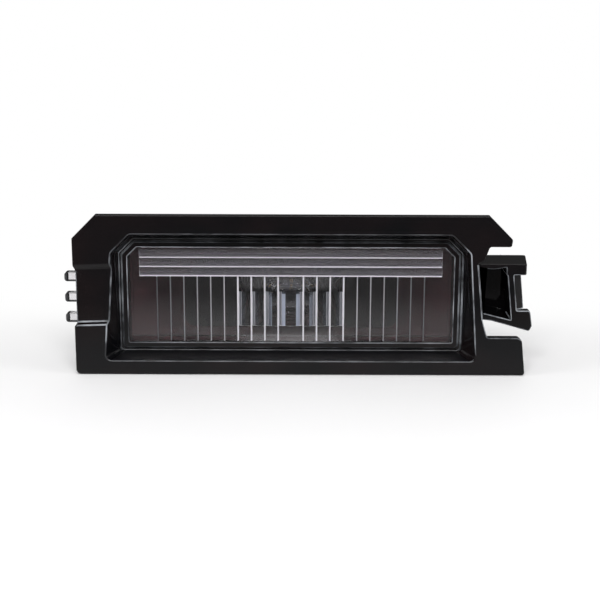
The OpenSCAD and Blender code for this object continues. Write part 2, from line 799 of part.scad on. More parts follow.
// A coil along X between the two supports, swept as one tube
module filament() {
    turn_steps = 10;
    sides = 6;
    thread_r = 0.09;
    length = support_span - 2 * (wire_r + thread_r);
    rings = coil_turns * turn_steps;
    function centre(i) = [-length / 2 + length * i / rings, coil_r * cos(360 * i / turn_steps),
        coil_r * sin(360 * i / turn_steps)];
    function out(i) = [0, cos(360 * i / turn_steps), sin(360 * i / turn_steps)];
    points = [for (i = [0 : rings]) for (k = [0 : sides - 1])
        centre(i) + thread_r * (out(i) * cos(360 * k / sides) + [sin(360 * k / sides), 0, 0])];
    color([0.6, 0.6, 0.62])
        translate([0, filament_y, bulb_z])
            polyhedron(
                points = points,
                faces = concat(
                    [[for (k = [0 : sides - 1]) k]],
                    [[for (k = [0 : sides - 1]) rings * sides + sides - 1 - k]],
                    [for (i = [0 : rings - 1]) for (k = [0 : sides - 1])
                        [i * sides + k, (i + 1) * sides + k, (i + 1) * sides + (k + 1) % sides]],
                    [for (i = [0 : rings - 1]) for (k = [0 : sides - 1])
                        [i * sides + k, (i + 1) * sides + (k + 1) % sides, i * sides + (k + 1) % sides]]));
}

module support_wire(side) {
    color([0.7, 0.68, 0.62])
        support_path(side, wire_r);
}
module support_wire_left() {
    support_wire(-1);
}
module support_wire_right() {
    support_wire(1);
}

front_frame();
lens();
rear_housing();
bulb_holder();
holder_seal();
contact_left();
contact_right();
bulb_glass();
filament();
support_wire_left();
support_wire_right();
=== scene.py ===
import json
import math

import bpy
from mathutils import Euler, Matrix, Vector

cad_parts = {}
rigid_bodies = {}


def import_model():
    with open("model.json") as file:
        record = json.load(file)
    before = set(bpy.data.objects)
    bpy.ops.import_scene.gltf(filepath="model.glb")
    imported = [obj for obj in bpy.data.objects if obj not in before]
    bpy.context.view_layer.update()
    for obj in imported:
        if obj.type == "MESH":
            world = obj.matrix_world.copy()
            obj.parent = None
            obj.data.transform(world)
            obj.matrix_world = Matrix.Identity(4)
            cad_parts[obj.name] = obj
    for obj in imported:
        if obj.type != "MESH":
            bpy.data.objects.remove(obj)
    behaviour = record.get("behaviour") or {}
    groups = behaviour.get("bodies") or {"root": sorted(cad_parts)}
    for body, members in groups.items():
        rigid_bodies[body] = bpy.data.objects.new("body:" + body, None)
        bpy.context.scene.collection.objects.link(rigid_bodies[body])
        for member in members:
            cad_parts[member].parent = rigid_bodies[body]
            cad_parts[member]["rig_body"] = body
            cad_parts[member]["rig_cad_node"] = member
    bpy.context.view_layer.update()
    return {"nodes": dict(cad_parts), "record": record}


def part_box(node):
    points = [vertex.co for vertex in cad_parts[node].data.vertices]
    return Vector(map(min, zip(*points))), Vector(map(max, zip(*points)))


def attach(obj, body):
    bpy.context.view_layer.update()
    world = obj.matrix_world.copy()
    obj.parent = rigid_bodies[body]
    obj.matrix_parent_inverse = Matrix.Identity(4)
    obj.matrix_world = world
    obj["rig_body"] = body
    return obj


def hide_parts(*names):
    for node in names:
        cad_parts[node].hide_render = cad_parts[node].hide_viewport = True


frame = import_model()
mm = 0.001
print("frame loaded:", len(frame["nodes"]), "nodes")


def hexColour(code):  # sRGB hex to the linear colour that the shaders take
    channels = [int(code[i:i + 2], 16) / 255 for i in (1, 3, 5)]
    linear = [c / 12.92 if c <= 0.04045 else ((c + 0.055) / 1.055) ** 2.4 for c in channels]
    return (*linear, 1.0)


def fillSockets(owner, node, inputs):  # a socket gets a link, a hex code is a colour, the rest are constants
    for name, value in inputs.items():
        if isinstance(value, bpy.types.NodeSocket):
            owner.node_tree.links.new(value, node.inputs[name])
        elif isinstance(value, str):
            node.inputs[name].default_value = hexColour(value)
        else:
            node.inputs[name].default_value = value


def addNode(owner, kind, inputs, **settings):
    node = owner.node_tree.nodes.new("ShaderNode" + kind)
    for name, value in settings.items():
        setattr(node, name, value)
    fillSockets(owner, node, inputs)
    return node.outputs


def cells(size, detail):  # what a noise node takes for cells of a real size in mm
    return {"Scale": 1 / (size * mm), "Detail": detail, "Roughness": 0.55}


def span(low, high, toLow=0.0, toHigh=1.0):  # what a range node takes to turn one range into another
    return {"From Min": low, "From Max": high, "To Min": toLow, "To Max": toHigh}


def newMaterial(name, inputs):
    material = bpy.data.materials.new(name)
    material.use_nodes = True
    shader = material.node_tree.nodes["Principled BSDF"]
    fillSockets(material, shader, inputs)
    return material, shader


def passLight(material, shader):  # clear walls let the lamps' light through to what lies behind them
    look = {"through": "#b4b4b4"}
    path = addNode(material, "LightPath", {})
    through = addNode(material, "BsdfTransparent", {"Color": look["through"]})["BSDF"]
    blend = addNode(material, "MixShader", {0: path["Is Shadow Ray"], 1: shader.outputs["BSDF"], 2: through})
    fillSockets(material, material.node_tree.nodes["Material Output"], {"Surface": blend["Shader"]})


# Camera: the photo's angle, from just above the lens's own height, with a little roll
cameraView = {
    "place": (1.76, -236.7, 57.33),  # mm
    "down": 13.87,  # degrees below the horizon of the part's frame
    "roll": 0.2,
    "lens": 78.0,  # mm
    "sensor": 36.0,  # mm
}
cameraData = bpy.data.cameras.new("photoCamera")
camera = bpy.data.objects.new("photoCamera", cameraData)
bpy.context.scene.collection.objects.link(camera)
cameraData.lens = cameraView["lens"]
cameraData.sensor_width = cameraView["sensor"]
turn = Euler((math.radians(90 - cameraView["down"]), 0, 0)).to_matrix()
turn = turn @ Matrix.Rotation(math.radians(cameraView["roll"]), 3, "Z")
camera.matrix_world = Matrix.Translation(Vector(cameraView["place"]) * mm) @ turn.to_4x4()
bpy.context.scene.camera = camera
print("camera set")


# Glossy black ABS of the front frame: a polished tool leaves it mirror-like with a faint long waviness
def glossyAbs():
    look = {
        "black": "#09090b", "warm": "#120d0e", "cloud": cells(16.0, 2.0), "warmth": span(0.4, 0.65),
        "dust": "#3a3a3c", "speck": cells(0.35, 2.0), "dusty": span(0.72, 0.8, 0.0, 0.35),
        "fine": cells(0.5, 4.0), "rough": span(0.35, 0.7, 0.07, 0.14),
        "wave": cells(9.0, 1.0), "bump": {"Strength": 0.12, "Distance": 0.4 * mm},
    }
    material, shader = newMaterial("glossyBlackAbs",
                                   {"Roughness": 0.1, "IOR": 1.5, "Specular IOR Level": 0.21})
    at = addNode(material, "TexCoord", {})["Object"]
    cloud = addNode(material, "TexNoise", {"Vector": at, **look["cloud"]})["Fac"]
    warmth = addNode(material, "MapRange", {"Value": cloud, **look["warmth"]})["Result"]
    base = addNode(material, "Mix", {"Factor": warmth, "A": look["black"], "B": look["warm"]},
                   data_type="RGBA")
    speck = addNode(material, "TexNoise", {"Vector": at, **look["speck"]})["Fac"]
    dusty = addNode(material, "MapRange", {"Value": speck, **look["dusty"]})["Result"]
    tint = addNode(material, "Mix", {"Factor": dusty, "A": base["Result"], "B": look["dust"]},
                   data_type="RGBA")
    fine = addNode(material, "TexNoise", {"Vector": at, **look["fine"]})["Fac"]
    rough = addNode(material, "MapRange", {"Value": fine, **look["rough"]})["Result"]
    wave = addNode(material, "TexNoise", {"Vector": at, **look["wave"]})["Fac"]
    bump = addNode(material, "Bump", {"Height": wave, **look["bump"]})["Normal"]
    fillSockets(material, shader, {"Base Color": tint["Result"], "Roughness": rough, "Normal": bump})
    return material


# Floor of the recess: the same plastic from a part of the tool that was left satin
def satinAbs():
    look = {
        "black": "#0b0b0d", "pale": "#141316", "cloud": cells(3.0, 2.0),
        "grain": cells(0.3, 2.0), "rough": span(0.3, 0.7, 0.3, 0.4),
    }
    material, shader = newMaterial("satinBlackAbs", {"IOR": 1.5, "Specular IOR Level": 0.15})
    at = addNode(material, "TexCoord", {})["Object"]
    cloud = addNode(material, "TexNoise", {"Vector": at, **look["cloud"]})["Fac"]
    tint = addNode(material, "Mix", {"Factor": cloud, "A": look["black"], "B": look["pale"]},
                   data_type="RGBA")
    grain = addNode(material, "TexNoise", {"Vector": at, **look["grain"]})["Fac"]
    rough = addNode(material, "MapRange", {"Value": grain, **look["rough"]})["Result"]
    fillSockets(material, shader, {"Base Color": tint["Result"], "Roughness": rough})
    return material


# The frame's rounded edges: drawn paler and duller than the faces as a painted highlight along them,
# and painted darker along the top and the bottom of the recess, where that highlight is fainter
def edgeHighlightAbs():
    look = {
        "grey": "#282a2e", "pale": "#8e9298", "patch": cells(4.0, 3.0), "highlightAmount": span(0.38, 0.68),
        "dark": "#131315", "upper": span(8.7 * mm, 9.6 * mm, 0.0, 0.75),
        "lower": span(-9.8 * mm, -10.4 * mm, 0.0, 0.7), "rough": span(0.3, 0.7, 0.28, 0.42),
    }
    material, shader = newMaterial("edgeHighlightBlackAbs", {"Roughness": 0.35, "IOR": 1.5})
    at = addNode(material, "TexCoord", {})["Object"]
    patch = addNode(material, "TexNoise", {"Vector": at, **look["patch"]})["Fac"]
    # patches of painted highlight along the rounded edges
    highlightAmount = addNode(material, "MapRange", {"Value": patch, **look["highlightAmount"]})["Result"]
    tint = addNode(material, "Mix", {"Factor": highlightAmount, "A": look["grey"], "B": look["pale"]},
                   data_type="RGBA")
    z = addNode(material, "SeparateXYZ", {"Vector": at})["Z"]
    upper = addNode(material, "MapRange", {"Value": z, **look["upper"]})["Result"]
    lower = addNode(material, "MapRange", {"Value": z, **look["lower"]})["Result"]
    # painted shade: the highlight is dimmed along the top and the bottom of the recess
    dim = addNode(material, "Math", {0: upper, 1: lower}, operation="MAXIMUM")["Value"]
    dimmed = addNode(material, "Mix", {"Factor": dim, "A": tint["Result"], "B": look["dark"]},
                     data_type="RGBA")
    rough = addNode(material, "MapRange", {"Value": patch, **look["rough"]})["Result"]
    fillSockets(material, shader, {"Base Color": dimmed["Result"], "Roughness": rough})
    return material


# Clear PMMA of the lens: moulded and polished. It is drawn a little milky under the bulb, along the lower
# margin, and less so between the pad and the prism steps, so that the lamps light a painted glow there
def clearPmma():
    look = {
        "tint": "#fcfafc", "shade": "#f3f1f4", "cloud": cells(6.0, 3.0),
        "low": span(-8.0 * mm, -9.6 * mm), "above": span(0.0, 1.0 * mm, 0.0, 0.35),
        "middle": span(12.5 * mm, 5.0 * mm), "clear": span(0.0, 1.0, 1.0, 0.915),
    }
    material, shader = newMaterial("clearPmma", {"IOR": 1.49, "Roughness": 0.0})
    at = addNode(material, "TexCoord", {})["Object"]
    cloud = addNode(material, "TexNoise", {"Vector": at, **look["cloud"]})["Fac"]
    tint = addNode(material, "Mix", {"Factor": cloud, "A": look["tint"], "B": look["shade"]},
                   data_type="RGBA")
    split = addNode(material, "SeparateXYZ", {"Vector": at})
    aside = addNode(material, "Math", {0: split["X"]}, operation="ABSOLUTE")["Value"]
    low = addNode(material, "MapRange", {"Value": split["Z"], **look["low"]}, interpolation_type="SMOOTHSTEP")
    above = addNode(material, "MapRange", {"Value": split["Z"], **look["above"]})
    middle = addNode(material, "MapRange", {"Value": aside, **look["middle"]},
                     interpolation_type="SMOOTHSTEP")
    band = addNode(material, "Math", {0: low["Result"], 1: above["Result"]}, operation="MAXIMUM")
    # painted glow: the lens turns milky in these bands so that the lamps light it
    paintedGlow = addNode(material, "Math", {0: band["Value"], 1: middle["Result"]}, operation="MULTIPLY")
    clear = addNode(material, "MapRange", {"Value": paintedGlow["Value"], **look["clear"]})["Result"]
    fillSockets(material, shader, {"Base Color": tint["Result"], "Transmission Weight": clear})
    passLight(material, shader)
    return material


# Steep little faces of the lens's optics: drawn matt and near white as a painted highlight, so they show as
# white lines.
# The painted white turns clearer at their inner ends, and greyer on the shallow flutes far from the bulb, as
# a painted fall-off of the light.
def mattPmma():
    look = {
        "tint": "#e6e3e8", "shade": "#cfcdd6", "patch": cells(1.5, 2.0), "rough": span(0.3, 0.7, 0.4, 0.6),
        "inner": "#8a8c94", "deep": span(2.95 * mm, 3.25 * mm), "clear": span(0.0, 1.0, 0.05, 0.6),
        "far": "#34363a", "outer": span(10.3 * mm, 26.0 * mm, 0.35, 0.95),
        "beside": span(10.2 * mm, 10.3 * mm), "flutes": span(2.6 * mm, 2.7 * mm, 1.0, 0.0),
    }
    material, shader = newMaterial("mattPmma", {"IOR": 1.49, "Roughness": 0.5})
    at = addNode(material, "TexCoord", {})["Object"]
    patch = addNode(material, "TexNoise", {"Vector": at, **look["patch"]})["Fac"]
    tint = addNode(material, "Mix", {"Factor": patch, "A": look["tint"], "B": look["shade"]},
                   data_type="RGBA")
    split = addNode(material, "SeparateXYZ", {"Vector": at})
    deep = addNode(material, "MapRange", {"Value": split["Y"], **look["deep"]})["Result"]
    near = addNode(material, "Mix", {"Factor": deep, "A": tint["Result"], "B": look["inner"]},
                   data_type="RGBA")
    aside = addNode(material, "Math", {0: split["X"]}, operation="ABSOLUTE")["Value"]
    outer = addNode(material, "MapRange", {"Value": aside, **look["outer"]})["Result"]
    beside = addNode(material, "MapRange", {"Value": aside, **look["beside"]})["Result"]
    flutes = addNode(material, "MapRange", {"Value": split["Z"], **look["flutes"]})["Result"]
    # painted fall-off: the white lines are greyed on the outer flutes, away from the bulb
    outside = addNode(material, "Math", {0: outer, 1: beside}, operation="MULTIPLY")["Value"]
    paintedFalloff = addNode(material, "Math", {0: outside, 1: flutes}, operation="MULTIPLY")["Value"]
    grey = addNode(material, "Mix", {"Factor": paintedFalloff, "A": near["Result"], "B": look["far"]},
                   data_type="RGBA")
    clear = addNode(material, "MapRange", {"Value": deep, **look["clear"]})["Result"]
    rough = addNode(material, "MapRange", {"Value": patch, **look["rough"]})["Result"]
    fillSockets(material, shader,
                {"Base Color": grey["Result"], "Transmission Weight": clear, "Roughness": rough})
    return material


# Slopes of the prism steps: ground finer than the risers, so they keep a satin haze with streaks along them.
# The haze is drawn thicker towards the foot of each step, a painted shading that leaves the upper part of
# each step darker.
def satinPmma():
    look = {
        "tint": "#e9e4ee", "shade": "#b9b2c4", "stretch": (0.06, 1.0, 1.0), "streak": cells(0.5, 3.0),
        "shading": span(0.35, 0.65), "haze": span(0.3, 0.7, 0.05, 0.16),
        "depth": span(2.5 * mm, 3.0 * mm, 0.15, 1.0), "clear": span(0.0, 1.0, 1.0, 0.0),
        "rough": span(0.0, 1.0, 0.04, 0.3),
    }
    material, shader = newMaterial("satinPmma", {"IOR": 1.49, "Specular IOR Level": 0.3})
    at = addNode(material, "TexCoord", {})["Object"]
    along = addNode(material, "Mapping", {"Vector": at, "Scale": look["stretch"]})["Vector"]
    streak = addNode(material, "TexNoise", {"Vector": along, **look["streak"]})["Fac"]
    shading = addNode(material, "MapRange", {"Value": streak, **look["shading"]})["Result"]
    tint = addNode(material, "Mix", {"Factor": shading, "A": look["tint"], "B": look["shade"]},
                   data_type="RGBA")
    y = addNode(material, "SeparateXYZ", {"Vector": at})["Y"]
    depth = addNode(material, "MapRange", {"Value": y, **look["depth"]})["Result"]
    haze = addNode(material, "MapRange", {"Value": streak, **look["haze"]})["Result"]
    # painted shading: the haze grows towards the foot of each step
    hazeAndPaintedLight = addNode(material, "Math", {0: depth, 1: haze}, operation="MULTIPLY")["Value"]
    clear = addNode(material, "MapRange", {"Value": hazeAndPaintedLight, **look["clear"]})["Result"]
    rough = addNode(material, "MapRange", {"Value": depth, **look["rough"]})["Result"]
    fillSockets(material, shader,
                {"Base Color": tint["Result"], "Transmission Weight": clear, "Roughness": rough})
    return material


# Tilted flanks of the pad's ribs: they spread the bulb's light, and carry a painted bluish haze, the bulb's
# glints seen through them, that thins outwards and towards the top of the pad
def ribPmma():
    look = {
        "tint": "#c2cadb", "shade": "#8b93a8", "stretch": (1.0, 1.0, 0.08), "streak": cells(0.4, 2.0),
        "haze": span(1.5 * mm, 5.0 * mm, 0.55, 0.02), "top": span(-0.1 * mm, -1.4 * mm),
        "clear": span(0.0, 1.0, 1.0, 0.0), "rough": span(0.0, 0.3, 0.1, 0.35),
    }
    material, shader = newMaterial("ribPmma", {"IOR": 1.49, "Roughness": 0.35})
    at = addNode(material, "TexCoord", {})["Object"]
    along = addNode(material, "Mapping", {"Vector": at, "Scale": look["stretch"]})["Vector"]
    streak = addNode(material, "TexNoise", {"Vector": along, **look["streak"]})["Fac"]
    tint = addNode(material, "Mix", {"Factor": streak, "A": look["tint"], "B": look["shade"]},
                   data_type="RGBA")
    split = addNode(material, "SeparateXYZ", {"Vector": at})
    aside = addNode(material, "Math", {0: split["X"]}, operation="ABSOLUTE")["Value"]
    # painted glint of the bulb: the bluish haze thins away from the centre and towards the top of the pad
    haze = addNode(material, "MapRange", {"Value": aside, **look["haze"]})["Result"]
    top = addNode(material, "MapRange", {"Value": split["Z"], **look["top"]}, interpolation_type="SMOOTHSTEP")
    hazeAndPaintedLight = addNode(material, "Math", {0: haze, 1: top["Result"]}, operation="MULTIPLY")["Value"]
    clear = addNode(material, "MapRange", {"Value": hazeAndPaintedLight, **look["clear"]})["Result"]
    rough = addNode(material, "MapRange", {"Value": hazeAndPaintedLight, **look["rough"]})["Result"]
    fillSockets(material, shader,
                {"Base Color": tint["Result"], "Transmission Weight": clear, "Roughness": rough})
    return material


# Lower wall of the sunk pad: painted white highlights in dashes under the tilted flanks, clear between, and
# fainter away from the bulb
def footPmma():
    first = 1.45 * mm
    look = {
        "tint": "#ffffff", "halfPitch": 1.35 * mm, "dash": span(0.75 * mm, 1.05 * mm, 1.0, 0.1),
        "fade": span(first, 6.0 * mm, 0.95, 0.3), "clear": span(0.0, 1.0, 1.0, 0.0),
    }
    material, shader = newMaterial("footPmma", {"Base Color": look["tint"], "IOR": 1.49, "Roughness": 0.4})
    at = addNode(material, "TexCoord", {})["Object"]
    x = addNode(material, "SeparateXYZ", {"Vector": at})["X"]
    aside = addNode(material, "Math", {0: x}, operation="ABSOLUTE")["Value"]
    start = addNode(material, "Math", {0: aside, 1: first}, operation="SUBTRACT")["Value"]
    within = addNode(material, "Math", {0: start, 1: look["halfPitch"]}, operation="PINGPONG")["Value"]
    dash = addNode(material, "MapRange", {"Value": within, **look["dash"]})["Result"]
    fade = addNode(material, "MapRange", {"Value": aside, **look["fade"]})["Result"]
    # painted highlight: white dashes that fade away from the bulb
    matt = addNode(material, "Math", {0: dash, 1: fade}, operation="MULTIPLY")["Value"]
    clear = addNode(material, "MapRange", {"Value": matt, **look["clear"]})["Result"]
    fillSockets(material, shader, {"Transmission Weight": clear})
    return material


# Rounded tips of the lugs: their curve gathers the black of the frame, so they are drawn smoky
def smokyPmma():
    look = {"tint": "#0d0e0f", "shade": "#222427", "cloud": cells(0.8, 2.0)}
    material, shader = newMaterial("smokyPmma", {"IOR": 1.49, "Roughness": 0.05, "Transmission Weight": 0.2})
    at = addNode(material, "TexCoord", {})["Object"]
    cloud = addNode(material, "TexNoise", {"Vector": at, **look["cloud"]})["Fac"]
    tint = addNode(material, "Mix", {"Factor": cloud, "A": look["tint"], "B": look["shade"]},
                   data_type="RGBA")
    fillSockets(material, shader, {"Base Color": tint["Result"]})
    return material


# Black polypropylene of the rear housing: spark-eroded tool, fine even grain, matt
def grainedPolypropylene():
    look = {
        "black": "#161415", "pale": "#211d1d", "cloud": cells(7.0, 3.0), "rough": span(0.3, 0.7, 0.42, 0.56),
        "grain": cells(0.22, 2.0),  # the real grain is about 0.05 mm, drawn coarser so that it shows
        "bump": {"Strength": 0.25, "Distance": 0.06 * mm},
    }
    material, shader = newMaterial("grainedBlackPolypropylene",
                                   {"Roughness": 0.5, "IOR": 1.49, "Specular IOR Level": 0.35})
    at = addNode(material, "TexCoord", {})["Object"]
    cloud = addNode(material, "TexNoise", {"Vector": at, **look["cloud"]})["Fac"]
    tint = addNode(material, "Mix", {"Factor": cloud, "A": look["black"], "B": look["pale"]},
                   data_type="RGBA")
    rough = addNode(material, "MapRange", {"Value": cloud, **look["rough"]})["Result"]
    grain = addNode(material, "TexNoise", {"Vector": at, **look["grain"]})["Fac"]
    bump = addNode(material, "Bump", {"Height": grain, **look["bump"]})["Normal"]
    fillSockets(material, shader, {"Base Color": tint["Result"], "Roughness": rough, "Normal": bump})
    return material


# The same plastic inside the box, drawn a dull red brown
def insidePolypropylene():
    look = {
        "brown": "#3a2427", "pale": "#4b2e32", "cloud": cells(5.0, 3.0), "rough": span(0.3, 0.7, 0.5, 0.7),
    }
    material, shader = newMaterial("insideBrownPolypropylene",
                                   {"Roughness": 0.6, "IOR": 1.49, "Specular IOR Level": 0.2})
    at = addNode(material, "TexCoord", {})["Object"]
    cloud = addNode(material, "TexNoise", {"Vector": at, **look["cloud"]})["Fac"]
    tint = addNode(material, "Mix", {"Factor": cloud, "A": look["brown"], "B": look["pale"]},
                   data_type="RGBA")
    rough = addNode(material, "MapRange", {"Value": cloud, **look["rough"]})["Result"]
    fillSockets(material, shader, {"Base Color": tint["Result"], "Roughness": rough})
    return material


# Glass-filled nylon of the bulb holder: dark grey, short fibres show as faint pale flecks
def filledNylon():
    look = {
        "grey": "#2b2b2e", "fibre": "#57575a", "stretch": (1.0, 0.25, 1.0), "fleck": cells(0.18, 2.0),
        "fibres": span(0.6, 0.75, 0.0, 0.5), "bump": {"Strength": 0.2, "Distance": 0.05 * mm},
        "cloud": cells(4.0, 3.0), "rough": span(0.3, 0.7, 0.38, 0.55),
    }
    material, shader = newMaterial("glassFilledNylon", {"Roughness": 0.45, "IOR": 1.53})
    at = addNode(material, "TexCoord", {})["Object"]
    along = addNode(material, "Mapping", {"Vector": at, "Scale": look["stretch"]})["Vector"]
    fleck = addNode(material, "TexNoise", {"Vector": along, **look["fleck"]})["Fac"]
    fibres = addNode(material, "MapRange", {"Value": fleck, **look["fibres"]})["Result"]
    tint = addNode(material, "Mix", {"Factor": fibres, "A": look["grey"], "B": look["fibre"]},
                   data_type="RGBA")
    cloud = addNode(material, "TexNoise", {"Vector": at, **look["cloud"]})["Fac"]
    rough = addNode(material, "MapRange", {"Value": cloud, **look["rough"]})["Result"]
    bump = addNode(material, "Bump", {"Height": fleck, **look["bump"]})["Normal"]
    fillSockets(material, shader, {"Base Color": tint["Result"], "Roughness": rough, "Normal": bump})
    return material


# Nitrile rubber of the seal: dull, with a bloom of paler powder
def nitrileRubber():
    look = {
        "black": "#1b1a1a", "powder": "#343232", "bloom": cells(1.2, 4.0), "powdery": span(0.45, 0.75),
        "bump": {"Strength": 0.3, "Distance": 0.05 * mm},
    }
    material, shader = newMaterial("nitrileRubber", {"Roughness": 0.8, "IOR": 1.52})
    at = addNode(material, "TexCoord", {})["Object"]
    bloom = addNode(material, "TexNoise", {"Vector": at, **look["bloom"]})["Fac"]
    powdery = addNode(material, "MapRange", {"Value": bloom, **look["powdery"]})["Result"]
    tint = addNode(material, "Mix", {"Factor": powdery, "A": look["black"], "B": look["powder"]},
                   data_type="RGBA")
    bump = addNode(material, "Bump", {"Height": bloom, **look["bump"]})["Normal"]
    fillSockets(material, shader, {"Base Color": tint["Result"], "Normal": bump})
    return material


# Stamped and drawn metals: brass contacts, nickel-plated iron wire and tungsten, each streaked by its tools
def streakedMetal(name, bright, dull, roughness, streakSize):
    look = {
        "stretch": (1.0, 0.12, 1.0), "streak": cells(streakSize, 3.0), "dullness": span(0.35, 0.7),
        "rough": span(0.3, 0.7, roughness * 0.8, roughness * 1.3),
    }
    material, shader = newMaterial(name, {"Metallic": 1.0, "Roughness": roughness})
    at = addNode(material, "TexCoord", {})["Object"]
    along = addNode(material, "Mapping", {"Vector": at, "Scale": look["stretch"]})["Vector"]
    streak = addNode(material, "TexNoise", {"Vector": along, **look["streak"]})["Fac"]
    dullness = addNode(material, "MapRange", {"Value": streak, **look["dullness"]})["Result"]
    tint = addNode(material, "Mix", {"Factor": dullness, "A": bright, "B": dull}, data_type="RGBA")
    rough = addNode(material, "MapRange", {"Value": streak, **look["rough"]})["Result"]
    fillSockets(material, shader, {"Base Color": tint["Result"], "Roughness": rough})
    return material


# Blown soda glass of the bulb: clear, with a very faint flow
def blownGlass():
    look = {
        "tint": "#fafcff", "stretch": (1.0, 0.3, 1.0), "flow": cells(3.0, 1.0),
        "bump": {"Strength": 0.08, "Distance": 0.2 * mm},
    }
    material, shader = newMaterial("blownGlass", {"Base Color": look["tint"], "Transmission Weight": 1.0,
                                                  "IOR": 1.52, "Roughness": 0.0})
    at = addNode(material, "TexCoord", {})["Object"]
    along = addNode(material, "Mapping", {"Vector": at, "Scale": look["stretch"]})["Vector"]
    flow = addNode(material, "TexNoise", {"Vector": along, **look["flow"]})["Fac"]
    bump = addNode(material, "Bump", {"Height": flow, **look["bump"]})["Normal"]
    fillSockets(material, shader, {"Normal": bump})
    passLight(material, shader)
    return material


# The finish of its slot covers a piece, and the extra ones go to some of its faces further down
finishes = {
    "frame_black": glossyAbs(),
    "lens_clear": clearPmma(),
    "housing_black": grainedPolypropylene(),
    "holder_grey": filledNylon(),
    "seal_rubber": nitrileRubber(),
    "contact_brass": streakedMetal("stampedBrass", "#c9a566", "#a88a58", 0.28, 0.4),
    "bulb_clear": blownGlass(),
    "wire_steel": streakedMetal("nickelPlatedWire", "#b9b5ab", "#8f8b83", 0.25, 0.2),
    "filament_grey": streakedMetal("tungstenWire", "#6f6f73", "#57575b", 0.35, 0.1),
}
extraFinishes = {
    "front_frame": [edgeHighlightAbs(), satinAbs()],
    "lens": [mattPmma(), satinPmma(), ribPmma(), smokyPmma(), footPmma()],
    "rear_housing": [insidePolypropylene()],
}
slotOf = {part["node"]: part["material_slot"] for part in frame["record"]["subparts"]}
print("materials made:", len(bpy.data.materials))

# Sizes in mm and angles in degrees. The rest of a piece's edges are as in usualEdges.
usualEdges = {
    "merge": 0.002,  # points nearer than this become one
    "flat": 1.0,  # triangles that turn less than this become one face
    "round": 0.0,  # width of the moulded rounding
    "steps": 2,  # faces across the rounding
    "angle": 28,  # edges that turn more than this are rounded
    "clamp": True,  # the rounding gets narrower where there is no room for it
    # on the front frame the second finish is the pale one, a painted highlight on the rounded edges
    "pale": False,  # whether the rounding shows the piece's second finish
    "smooth": 32,  # edges that turn less than this are shaded smooth
}
dressed = {
    "front_frame": {"name": "frontFrame", "round": 0.18, "steps": 3, "angle": 24, "clamp": False,
                    "pale": True},
    "lens": {"name": "clearLens", "smooth": 14},  # its lug tips are rounded in the CAD already
    "rear_housing": {"name": "rearHousing", "round": 0.15, "angle": 35, "clamp": False},
    "bulb_holder": {"name": "bulbHolder", "round": 0.12, "angle": 35, "clamp": False},
    "holder_seal": {"name": "holderSeal", "round": 0.4, "steps": 4},
    "contact_left": {"name": "contactLeft", "round": 0.05},
    "contact_right": {"name": "contactRight", "round": 0.05},
}


# A CAD node is copied, its split points are joined, its flat triangles become whole faces, and its
# moulded edges are rounded
def dressedCopy(node, name, edges):
    original = frame["nodes"][node]
    bpy.ops.object.select_all(action="DESELECT")
    original.select_set(True)
    bpy.context.view_layer.objects.active = original
    bpy.ops.object.duplicate()
    piece = bpy.context.active_object
    piece.name = name
    piece.data.name = name
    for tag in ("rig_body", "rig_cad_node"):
        if tag in piece:
            del piece[tag]
    bpy.ops.object.mode_set(mode="EDIT")
    bpy.ops.mesh.select_all(action="SELECT")
    bpy.ops.mesh.remove_doubles(threshold=edges["merge"] * mm)
    bpy.ops.mesh.dissolve_limited(angle_limit=math.radians(edges["flat"]))
    bpy.ops.mesh.select_all(action="SELECT")
    bpy.ops.mesh.normals_make_consistent(inside=False)
    bpy.ops.object.mode_set(mode="OBJECT")
    piece.data.materials.clear()
    for finish in [finishes[slotOf[node]]] + extraFinishes.get(node, []):
        piece.data.materials.append(finish)
    if edges["round"] > 0:
        bevel = piece.modifiers.new("moulded edges", "BEVEL")
        bevel.width = edges["round"] * mm
        bevel.segments = edges["steps"]
        bevel.limit_method = "ANGLE"
        bevel.angle_limit = math.radians(edges["angle"])
        bevel.miter_outer = "MITER_ARC"
        bevel.use_clamp_overlap = edges["clamp"]
        bevel.material = 1 if edges["pale"] else -1
        bpy.ops.object.modifier_apply(modifier=bevel.name)
    bpy.ops.object.shade_smooth_by_angle(angle=math.radians(edges["smooth"]))
    level = piece.modifiers.new("level faces", "WEIGHTED_NORMAL")
    level.keep_sharp = True
    level.weight = 100
    bpy.ops.object.modifier_apply(modifier=level.name)
    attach(piece, "root")
    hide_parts(node)
    print("dressed", name, len(piece.data.polygons), "faces")
    return piece.data


shapes = {node: dressedCopy(node, edges["name"], {**usualEdges, **edges}) for node, edges in dressed.items()}

# The bulb's own nodes stay as they are and only get their finish
for node in ("bulb_glass", "filament", "support_wire_left", "support_wire_right"):
    shape = frame["nodes"][node].data
    shape.materials.clear()
    shape.materials.append(finishes[slotOf[node]])

